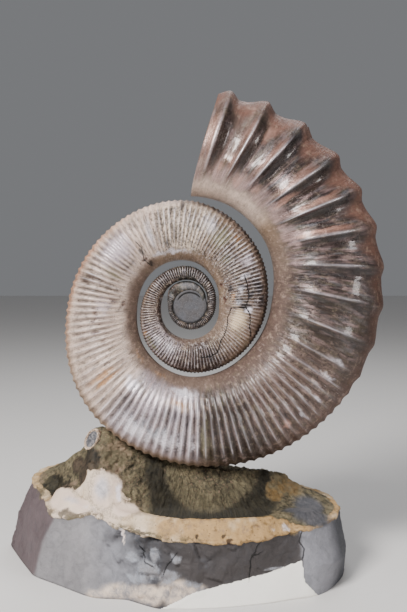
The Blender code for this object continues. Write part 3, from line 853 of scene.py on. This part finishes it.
blockLook = {
    "breakSeed": 2,
    # how far in from the rim the calcite reaches, corner by corner
    "calciteWidth": [5, 3, 3, 0, 5, 13, 15, 15, 16, 16, 15, 13, 17, 17, 6, 4, 5, 6, 5, 6, 5, 5],
    # from here on, by corner: how golden the calcite is
    "golden": [(0, 0.6), (4, 0.9), (4.8, 1), (6.4, 1), (8, 0.6), (8.8, 0.3), (10, 0), (13, 0), (14, 0.6), (22, 0.6)],
    # how high the sawn white face reaches
    "sawn": [
        (0, -9), (2.9, -9), (3, 0), (3.88, 9), (4, 20.6), (5, 14.6), (6, 11), (7, 7.6), (7.95, 0), (8.2, -9),
        (22, -9),
    ],
    # the size of the chips' steps
    "chipped": [
        (0, 1.5), (1, 0.8), (1.8, 0.25), (3.6, 0.2), (4.2, 0.8), (6, 1.6), (7.5, 4), (9, 6), (10.2, 4.5), (11, 0.9),
        (14, 0.8), (15, 2.5), (19, 3.5), (22, 1.6),
    ],
    # how rounded the sides are from corner to corner
    "rounded": [(0, 1), (3.4, 1), (3.9, 0.1), (5, 0.2), (12.5, 0.2), (13, 0.1), (14, 0.2), (16, 0.8), (22, 1)],
    "roundings": 70,
    # the stone of the sides
    "sides": [
        (0, "smoke"), (1.6, "smoke"), (2.4, "bluestone"), (3.9, "bluestone"), (4.05, "iron"), (7.4, "iron"),
        (8.6, "smoke"), (10.2, "bluestone"), (11.2, "ash"), (12.95, "ash"), (13.03, "plum"), (15, "plum"),
        (17, "smoke"), (22, "smoke"),
    ],
    # a painted highlight, a light line down the ridge between the left faces: its corner and its width
    "ridgeHighlightAt": 13.0,
    "ridgeHighlightWide": 0.05,
    "fall": 0.8,  # how fast a patch falls off from its middle
    "crackFades": (1.5, 3.0),
}
# the looks of its patches: two colours that mingle, how much they cover, how far they stand out, how much they stray
# and how softly they end
blockTones = {
    "hollow": ("pitch", "olive", 0.9, 0, 1, 0.1),
    "facet": ("pitch", "bark", 0.8, 0, 0.6, 0.1),
    "tan": ("straw", "sand", 0.82, 0.2, 0.7, 0.14),
    "ochre": ("straw", "amber", 0.8, -1, 0.35, 0.14),
    "gold": ("straw", "amber", 0.75, 0.2, 0.8, 0.26),
    "grey": ("smoke", "slab", 0.95, 0.3, 0.35, 0.2),
    "crust": ("olive", "straw", 0.8, 0.3, 1, 0.14),
    "plate": ("bone", "ivory", 0.9, 0, 0.3, 0.12),
    "sheen": ("pearl", "mist", 0.8, 0, 0.3, 0.36),
    "shade": ("iron", "smoke", 0.75, 0, 0.7, 0.25),
    "beige": ("bone", "ash", 0.85, 0.3, 0.35, 0.26),
    "pale": ("ash", "mist", 0.85, 0.4, 0.5, 0.16),
    "lime": ("bone", "pearl", 0.85, 0.3, 0.6, 0.16),
    "pit": ("umber", "soot", 0.85, -0.4, 0.8, 0.14),
}
# its patches of each kind: place, reach each way, strength
blockMarks = {
    "hollow": [((-88, 14, 50), (13, 16, 7), 1.1), ((-78, 2, 54), (9, 9, 5), 0.9)],
    "facet": [((-62, -6, 70), (10, 9, 9), 1), ((-66, -9, 63), (10, 8, 7), 0.9), ((-71, 4, 66), (7, 8, 6), 0.9)],
    "tan": [
        ((-46, -9, 75), (8, 9, 10), 1.2), ((-100, 24, 52), (3.5, 20, 5), 0.8), ((-70, -2, 56), (9, 4, 4), 0.7),
        ((56, 2, 59), (7, 5, 3), 1), ((68, 5, 53), (10, 7, 3), 1),
    ],
    "ochre": [
        ((53, -7, 53), (6, 9, 6), 1.1), ((59, -4, 55), (7, 9, 5), 1.1), ((66, 1, 51), (7, 8, 4), 1),
        ((93, 12, 41), (3, 9, 4), 1), ((60, -36, 38), (4, 4, 4), 1), ((80, 12, 46), (8, 5, 3), 0.7),
    ],
    "gold": [((55, 2, 61.5), (5, 8, 3.2), 1), ((61, 4, 58), (5, 8, 3.2), 1), ((68, 6, 54), (5, 8, 3), 1)],
    "grey": [((66, -22, 42), (10, 9, 5), 1), ((74, -10, 44), (10, 14, 6), 1), ((79, -27, 41), (12, 12, 4.5), 1)],
    "crust": [
        ((-74, -20, 42), (9, 6, 3), 1), ((-98, 14, 46), (4, 20, 5), 0.7), ((-44, -22, 68), (5, 6, 6), 0.7),
        ((-36, -18, 62), (10, 6, 8), 0.5), ((-33, -26, 50), (4, 5, 5), 0.8), ((-26, -42, 37), (14, 6, 1.3), 0.8),
        ((52, -30, 41), (7, 6, 4), 0.8),
    ],
    "plate": [
        ((-80, -6, 47), (13, 12, 6), 1.2), ((-66, -17, 46), (9, 8, 4.5), 1.1), ((-50, -19, 56), (8.5, 9, 11), 1.2),
        ((-38, -26, 46), (8, 8, 4), 1),
    ],
    "sheen": [((-53, -18, 57), (4.5, 8, 7), 1), ((-72, -12, 48), (10, 8, 2), 0.6)],
    "shade": [
        ((-24, -46, 31), (22, 8, 4), 1), ((-48, -38, 33), (10, 9, 5), 0.7), ((-17, -52, 21), (2.5, 8, 4), 0.9),
        ((10, -52, 24), (9, 8, 6), 0.6), ((-40, -44, 20), (4, 9, 7), 0.5), ((-26, -50, 11), (7, 9, 1.6), 0.7),
    ],
    "beige": [
        ((-54, -45, 2), (10, 8, 3), 0.8), ((-40, -46, 4), (12, 10, 4.5), 1), ((-24, -54, 6), (12, 10, 5), 1.1),
        ((-8, -57, 8), (11, 9, 6), 1.1), ((4, -57, 9), (7, 8, 3.5), 0.9),
    ],
    "pale": [
        ((-24, -48, 19), (8, 12, 5), 1), ((-33, -46, 24), (5, 9, 3), 0.9), ((-12, -54, 16), (7, 9, 4), 0.9),
        ((-8, -54, 26), (4, 7, 3), 0.7), ((-30, -48, 13), (9, 9, 3), 0.8), ((52, -46, 17), (10, 6, 1.4), 0.9),
        ((-20, -50, 27), (3, 9, 4), 0.8), ((2, -56, 12), (8, 8, 3), 0.6),
    ],
    "lime": [
        ((-43, -20, 55), (3, 8, 8), 0.7), ((-57, -24, 46), (20, 8, 2), 0.5), ((56, -36, 39), (4, 5, 3), 0.8),
        ((47, -41, 39), (5, 4, 2.5), 0.6), ((-40, -38, 35), (1, 4, 4), 0.9), ((-39, -40, 30), (0.7, 4, 3), 0.7),
    ],
    "pit": [
        ((21, -49, 38), (1.2, 1.6, 3), 1), ((24, -52, 36.5), (1.7, 1.1, 3), 1), ((5, -50, 38), (1.3, 2, 3), 0.9),
        ((-9, -50, 37), (1.5, 2, 3), 0.9), ((38, -46, 38), (1.2, 2, 3), 0.9),
    ],
}
blockCracks = [  # on the front face: x and z
    [(43, 38), (40.5, 34), (39.2, 32.5), (38.4, 29), (36.5, 27.2), (38.5, 26.8), (41, 28.2)],
    [(36.5, 27.2), (35.2, 24), (35.4, 19), (34.5, 13)],
    [(-30, 30), (-27.5, 26.5), (-26, 22), (-21, 20.5)], [(-8, 28), (-10.5, 24.5), (-13, 22), (-15, 17)],
    [(66, 36), (64.5, 31), (67.5, 27), (66.4, 22)],
]


def facets(points, span, seed=0.0):  # planes broken this way and that, each about span across
    noise.seed_set(blockLook["breakSeed"])
    out = np.zeros(len(points))
    for i, p in enumerate(points):
        at = Vector((p[0] / span + seed, p[1] / span, p[2] / span - seed))
        middle = noise.voronoi(at)[1][0]
        out[i] = (at - middle).dot(noise.noise_vector(middle * 3.7)) * 1.6
    return out


def netNormals(points, count):  # normals of a net of points, a ring of count points to a row
    net = points.reshape(-1, count, 3)
    across = np.roll(net, -1, 1) - np.roll(net, 1, 1)
    down = np.gradient(net, axis=0)
    normals = np.cross(across, down).reshape(-1, 3)
    return normals / np.maximum(np.linalg.norm(normals, axis=1), 1e-9)[:, None]


def byCorner(places, rows):  # a value along the sides, from its table by corner
    return np.interp(places, *zip(*rows))


print("block: breaking the rock")
corners = np.array(block["rim"] + block["rim"][:1], float)
milestones = np.concatenate([[0], np.cumsum(np.linalg.norm(np.diff(corners, axis=0), axis=1))])
steps = np.arange(block["around"]) * milestones[-1] / block["around"]
places = np.interp(steps, milestones, np.arange(len(corners)))
edges = [alongCorners(block[k], places) for k in ("foot", "waist", "rim")]
soft = byCorner(places, blockLook["rounded"])[:, None]
for _ in range(blockLook["roundings"]):
    edges = [ring + soft * ((np.roll(ring, 1, 0) + np.roll(ring, -1, 0)) / 2 - ring) for ring in edges]
foot, waist, rim = edges
middle = np.array(block["middle"])
blockRows = []
for low, high, count in ((foot, waist, block["sideRings"][0]), (waist, rim, block["sideRings"][1])):
    blockRows += [low + (high - low) * k / count for k in range(count)]
sideCount = len(blockRows)
inwards = [np.zeros(len(rim))] * sideCount
reach = np.linalg.norm(middle - rim[:, :2], axis=1)
for k in range(block["topRings"]):
    share = (k / block["topRings"]) ** block["topSpacing"]
    xy = rim[:, :2] + (middle - rim[:, :2]) * share
    inside = ease(share, 0, block["rimBlend"])
    height = rim[:, 2] * (1 - inside) + upperSide(xy[:, 0], xy[:, 1]) * inside
    blockRows.append(np.column_stack([xy, height]))
    inwards.append(reach * share)
blockPoints = np.concatenate(blockRows)
inward = np.concatenate(inwards)
placeNow = np.tile(places, len(blockRows))
rimHeight = np.tile(rim[:, 2], len(blockRows))
onTop = np.repeat(np.arange(len(blockRows)) >= sideCount, block["around"])
upper = onTop.astype(float)
side = 1 - upper
x, y, z = blockPoints.T

# its masks
broken = rough(blockPoints, 6.0, 4, 2.0)
fine = rough(blockPoints, 2.2, 3, 5.0)
stray = [rough(blockPoints, 9.0, 3, 31.0 + k) * 3.2 + rough(blockPoints, 3.0, 2, 37.0 + k) * 1.1 for k in range(3)]
masks = {}
for kind, rows in blockMarks.items():
    loose = [v + w * blockTones[kind][4] for v, w in zip((x, y, z), stray)]
    masks[kind] = np.zeros(len(x))
    for at, size, strength in rows:
        masks[kind] = np.maximum(masks[kind], strength * np.exp(-blockLook["fall"] * apart(loose, at, size)))
calciteWidth = blockLook["calciteWidth"] + blockLook["calciteWidth"][:1]
width = np.interp(placeNow, np.arange(len(calciteWidth)), calciteWidth)
calciteTop = ease(width - inward + broken * 2.2, -1.5, 1.5)
calciteSide = ease(z - rimHeight + 1.2 + broken * 1.5, -1.0, 1.0)
calcite = np.where(onTop, calciteTop, calciteSide)
edging = np.where(onTop, 1 - ease(inward + broken, 0.5, 3.5), 1.0) * band(placeNow, (6, 7), (13.2, 13.8))
sawn = side * ease(byCorner(placeNow, blockLook["sawn"]) - z + fine * 0.35, -0.5, 0.5)
floorZ = block["floor"] - block["floorFall"] * y
granular = upper * ease(z - floorZ, 1.0, 5.0) * band(x, (-60, -50), (58, 74))
t = block["trough"]
fromTrough = np.hypot(x - t["x"], y - t["y"])
striae = np.exp(-(((fromTrough - t["striaeAt"]) / t["striaeWide"]) ** 2)) * band(x, (-24, -8), (34, 50))
swept = np.arctan2(y - t["y"], x - t["x"]) * t["radius"]
onFront = (y < -20) & ~onTop
sides = [(row[0], *tone(row[1])) for row in blockLook["sides"]]
ground = [byCorner(placeNow + broken * 0.05, [(row[0], row[k]) for row in sides]) for k in (1, 2, 3)]
# painted highlight along the ridge
ridgeHighlight = np.exp(-(((placeNow - blockLook["ridgeHighlightAt"]) / blockLook["ridgeHighlightWide"]) ** 2))
masks.update({
    "upper": upper,
    "calcite": calcite,
    "golden": byCorner(placeNow, blockLook["golden"]),
    "edging": edging,
    "sawn": sawn,
    "granular": granular,
    "trough": upper * troughShare(x, y) * (0.35 + 0.65 * ease(x, -32, -12)),
    "striae": np.where(onTop & (y < 0), striae, 0.0),
    "imprint": np.column_stack([swept, (fromTrough - t["radius"]) * 0.12, z * 0.1]),
    "ridgeHighlight": side * ridgeHighlight * (1 - ease(z, 34, 42)),
    "ground": np.stack(ground, -1),
    **crackMasks([np.where(onFront, aside(x, z, line), 9.0) for line in blockCracks], blockLook["crackFades"]),
})

# its relief
chips = facets(blockPoints, 13.0) + 0.45 * facets(blockPoints, 5.5, 4.0)
creases = np.clip(0.3 - np.abs(rough(blockPoints, 9.0, 4, 41.0)), 0, 1) / 0.3
lift = side * (1 - sawn) * (byCorner(placeNow, blockLook["chipped"]) * (chips - 0.25) * ease(z, 0, 3) + fine * 0.15)
lift += calcite * (0.7 + 0.5 * broken) + granular * (1.0 * fine + 1.2 * broken - 1.6 * creases**2)
lift += masks["facet"] * facets(blockPoints, 9.0, 7.0) * 2.2
lift -= masks["hollow"] * (3.0 - facets(blockPoints, 8.0, 9.0) * 1.6)
lift += upper * (1 - granular) * fine * 0.35 + sawn * 0.25
for kind, look in blockTones.items():
    lift += look[3] * ease(masks[kind] + broken * 0.15, 0.30, 0.60)
lift += (0.9 - lift) * ease(masks["plate"], 0.2, 0.55) * 0.85
normals = netNormals(blockPoints, block["around"])
normals *= np.sign((normals * (blockPoints - (0, 10, 25))).sum(1))[:, None]
blockPoints = np.clip(blockPoints + normals * (lift * ease(z, 0.0, 1.5))[:, None], boxLow, boxHigh)
rock = closedTube("matrixRock", seat(blockPoints).reshape(-1, block["around"], 3), masks)
print("block:", len(rock.data.polygons), "faces")

rockNoises = {  # in the columns of nacreNoises
    "clouds": (14, 4),
    "mottle": (3.2, 5, 0.65, 0.5, (5, 5, 5)),
    "pepper": (0.9, 3, 0.7, 0, (9, 1, 3)),
    "bruises": (9, 5, 0.6, 1, (40, 2, 8), None, (0.50, 0.62)),
    "scuffs": (4, 5, 0.75, 1.5, None, (0.5, 0.5, 1.2), (0.60, 0.70)),
    "crumbs": (1.6, 4, 0.75, 0.6, (8, 61, 3), None, (0.52, 0.62)),
    "shadows": (4.5, 6, 0.75, 0.8, (28, 1, 63), None, (0.50, 0.60)),
    "stains": (5, 5, 0.7, 0, (77, 3, 1), None, (0.52, 0.64)),
    "embers": (4, 5, 0.7, 0, (7, 33, 1), None, (0.52, 0.64)),
}
rockLook = {
    # how much each layer covers at most
    "bruises": 0.2, "scuffs": 0.14, "ridgeHighlight": 0.6, "shadows": 0.6, "trough": 0.92, "striae": 0.6, "fringe": 0.75,
    "edging": 0.8, "pits": 0.7, "calcite": 0.97, "rays": 0.3, "grit": 0.45, "crack": 0.75,
    # how uneven its patches are, and which are evener
    "grain": 0.22, "evenGrain": 0.10, "even": ("beige", "plate", "sheen", "grey"),
    "calciteUnder": "grey",  # the calcite lies under this kind of patch and those after it
    "bump": 0.55,
}


def brokenRock():
    look = rockLook
    p = Paint("brokenRock", Specular_IOR_Level=0.3)
    place = p.millimetres()
    clouds, mottle, pepper, bruises, scuffs, crumbs, shadows, stains, embers = p.clouds(place, rockNoises)
    rays = p.cloud(p.read("imprint", "Vector"), 0.9, 3, 0.6)
    edges = mottle * 0.24 + pepper * 0.16 - 0.20
    granular, golden, trough, striae = p.read("granular"), p.read("golden"), p.read("trough"), p.read("striae")
    sawn = p.step(p.read("sawn"), 0.4, 0.6)
    # broken stone
    stone = p.shade(p.read("ground", "Vector"), 0.74 + clouds * 0.28 + mottle * 0.16 + pepper * 0.08)
    stone = p.blend(bruises * look["bruises"], stone, "smoke")
    stone = p.blend(scuffs * look["scuffs"], stone, "ash")
    # painted highlight along the ridge, in ash
    stone = p.blend(p.read("ridgeHighlight") * look["ridgeHighlight"], stone, "ash")
    # the upper side and the trough in it
    top = p.blend(p.step(mottle * 0.6 + clouds * 0.4, 0.1, 0.8), "olive", "straw")
    top = p.blend(crumbs * (0.25 + granular * 0.45), top, "sand")
    top = p.blend(shadows * look["shadows"], top, "pitch")
    top = p.blend(p.step(pepper, 0.60, 0.90) * granular * 0.7, top, "soot")
    top = p.shade(top, 0.86 + clouds * 0.35 + pepper * 0.25)
    top = p.blend(p.step(trough, 0.10, 0.6) * look["trough"], top, p.blend(rays * 0.7, "pitch", "olive"))
    top = p.blend(p.step(striae + edges * 0.5, 0.15, 0.85) * look["striae"], top, p.blend(rays, "olive", "straw"))
    colour = p.blend(p.step(p.read("upper"), 0.3, 0.7), stone, top)
    # calcite
    skin = p.read("calcite") + edges * 0.5
    calcite = p.step(skin, 0.40, 0.60)
    fringe = (1 - p.step(skin, 0.55, 1.05)) * p.step(pepper * 0.5 + mottle * 0.5, 0.35, 0.6)
    pits = (1 - p.step(p.dots(place, 2.6), 0.08, 0.18)) * p.step(mottle, 0.4, 0.7)
    cream = p.blend(p.step(golden + clouds * 0.5 - 0.25, -0.1, 0.45), "bone", "cream")
    cream = p.blend(p.step(golden + clouds * 0.9 - 0.45, 0.25, 0.85), cream, "honey")
    cream = p.blend(stains * (0.15 + golden * 0.4), cream, "clay")
    cream = p.blend(embers * golden * 0.8, cream, "amber")
    cream = p.shade(cream, 0.84 + mottle * 0.2 + pepper * 0.12)
    cream = p.blend(fringe * look["fringe"], cream, p.blend(clouds, "olive", "amber"))
    edging = p.read("edging") * p.step(mottle * 0.5 + clouds * 0.5, 0.40, 0.62)
    cream = p.blend(edging * look["edging"], cream, p.blend(pepper, "olive", "straw"))
    cream = p.blend(pits * look["pits"], cream, "umber")
    for kind, (first, second, cover, _, loose, softness) in blockTones.items():
        if kind == look["calciteUnder"]:
            colour = p.blend(calcite * look["calcite"], colour, cream)
        patch = p.step(p.read(kind) + edges * loose * 0.8, 0.48 - softness, 0.48 + softness)
        tones = p.blend(p.step(mottle * 0.5 + clouds * 0.5, 0.15, 0.85), first, second)
        if kind == "tan":
            tones = p.blend(rays * look["rays"], tones, "pitch")
        grain = look["evenGrain" if kind in look["even"] else "grain"]
        colour = p.blend(patch * cover, colour, p.shade(tones, 1.0 - grain + (pepper + mottle) * grain))
    plates = p.read("plate")
    grit = p.step(plates + edges, 0.16, 0.32) * (1 - p.step(plates + edges, 0.42, 0.60)) * p.step(pepper, 0.25, 0.55)
    colour = p.blend(grit * look["grit"], colour, p.blend(mottle, "olive", "clay"))
    colour = p.blend(sawn, colour, p.shade("chalk", 0.98 + mottle * 0.04))
    crack = (1 - p.step(abs(p.read("crack") + edges * 2.0), 0.15, 0.5)) * p.read("crackNear")
    colour = p.blend(crack * look["crack"], colour, "soot")
    roughness = 0.55 + mottle * 0.15 + granular * 0.15 - plates * 0.15 - sawn * 0.05
    smoothed = p.step(plates + p.read("beige") + p.read("pale") * 0.7, 0.2, 0.7)
    bump = mottle * 0.35 + pepper * 0.25 + crumbs * granular * 0.6 + rays * (trough + striae) * 0.5 - crack
    bump = bump * (1 - sawn * 0.85) * (1 - smoothed * 0.6)
    return p.finish(colour, bump, look["bump"], Roughness=roughness)


rock.data.materials.append(brokenRock())

fragment = {
    "middle": (-62.0, -2.5, 84.0),
    "up": (0.5, 0.0, 0.866),
    "facing": (-0.6, -0.8, 0.1),
    "reach": (7.2, 4.5),
    "around": 96,
    # its rings from behind: share of its size, height over its lip
    "rings": [(0.9, -7.0), (0.98, -4.0), (1.02, -2.0), (1.02, -0.9), (0.99, -0.3), (0.94, 0.0), (0.89, 0.0),
              (0.84, -0.3), (0.80, -0.8), (0.74, -1.1), (0.6, -1.3), (0.4, -1.2), (0.2, -1.1), (0.05, -1.1)],
    "wall": 0.79,  # the shell's wall is outside this share
    "unevenness": (0.35, 0.12),  # out of its face, across it
}


def makeFragment():  # the end of a small whorl, broken across and left in the mound
    up, facing = np.array(fragment["up"]), np.array(fragment["facing"])
    facing = facing - facing.dot(up) * up
    facing /= np.linalg.norm(facing)
    wide = np.cross(up, facing)
    angles = np.arange(fragment["around"]) * 2 * math.pi / fragment["around"]
    tall, broad = fragment["reach"]
    out, across = fragment["unevenness"]
    rows, lip = [], []
    for share, height in fragment["rings"]:
        flat = np.outer(np.cos(angles) * tall * share, up) + np.outer(np.sin(angles) * broad * share, wide)
        flat = flat + np.array(fragment["middle"]) + height * facing
        uneven = np.outer(rough(flat, 3.0, 3, 17.0) * out, facing) + np.outer(rough(flat, 2.0, 2, 19.0) * across, wide)
        rows.append(flat + uneven)
        lip.append(np.full(len(angles), float(share > fragment["wall"])))
    return closedTube("smallWhorl", rows, {"lip": np.concatenate(lip)})


def fragmentStone():
    p = Paint("fragmentStone", Specular_IOR_Level=0.35)
    place = p.millimetres()
    mottle = p.cloud(place, 1.6, 5, 0.7, 0.4)
    pepper = p.cloud(place, 0.6, 3, 0.7, 0, (2, 6, 1))
    inside = p.blend(p.step(mottle, 0.3, 0.8), "smoke", "ash")
    shellWall = p.blend(p.step(mottle * 0.6 + pepper * 0.4, 0.3, 0.7), "sand", "bone")
    colour = p.blend(p.step(p.read("lip") + mottle * 0.5 - 0.25, 0.35, 0.65), inside, shellWall)
    colour = p.blend(p.step(pepper, 0.7, 0.95) * 0.6, colour, "umber")
    return p.finish(colour, mottle * 0.6 + pepper * 0.4, 0.3, Roughness=0.45 + pepper * 0.2)


smallWhorl = makeFragment()
smallWhorl.data.materials.append(fragmentStone())

print("stage: floor, lights and camera")
stage = {
    "floorColour": (0.72, 0.70, 0.68),
    "worldColour": (0.86, 0.88, 0.92),
    "worldStrength": 0.22,
    # place, power, size, colour
    "lamps": [
        ((-0.50, -0.68, 0.78), 22.0, 0.34, (1.0, 0.98, 0.96)),
        ((0.80, -0.55, 0.35), 3.5, 0.2, (1.0, 0.96, 0.94)),
        ((0.15, 0.55, 0.95), 4.0, 0.5, (0.95, 0.97, 1.0)),
    ],
    "lampsFace": (0, 0, 0.13),
    "floorSize": 6,
    "floorRoughness": 0.6,
    "cameraPlace": (0.00837, -0.5257, 0.2038),
    "cameraDown": 4.0,
    "lens": 50.0,
    "sensor": 36.0,
}
bpy.ops.mesh.primitive_plane_add(size=stage["floorSize"])
floor = bpy.context.object
floor.name = "floor"
paleFloor = Paint("paleFloor", Base_Color=(*stage["floorColour"], 1), Roughness=stage["floorRoughness"])
floor.data.materials.append(paleFloor.material)
for i, (place, power, size, colour) in enumerate(stage["lamps"]):
    lamp = bpy.data.objects.new(f"lamp{i}", bpy.data.lights.new(f"lamp{i}", "AREA"))
    lamp.data.energy, lamp.data.size, lamp.data.color = power, size, colour
    lamp.location = place
    lamp.rotation_euler = (Vector(stage["lampsFace"]) - Vector(place)).to_track_quat("-Z", "Y").to_euler()
    bpy.context.scene.collection.objects.link(lamp)
world = bpy.data.worlds.new("studio")
world.use_nodes = True
world.node_tree.nodes["Background"].inputs["Color"].default_value = (*stage["worldColour"], 1)
world.node_tree.nodes["Background"].inputs["Strength"].default_value = stage["worldStrength"]
bpy.context.scene.world = world
camera = bpy.data.objects.new("camera", bpy.data.cameras.new("camera"))
camera.location = stage["cameraPlace"]
camera.rotation_euler = (math.radians(90 - stage["cameraDown"]), 0, 0)
camera.data.lens, camera.data.sensor_width = stage["lens"], stage["sensor"]
bpy.context.scene.collection.objects.link(camera)
bpy.context.scene.camera = camera

for piece in (lastWhorl, innerWhorls, heartDisc):
    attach(piece, "root")
    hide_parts("ammonite_coil")
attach(rock, "root")
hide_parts("matrix_block")
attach(smallWhorl, "root")
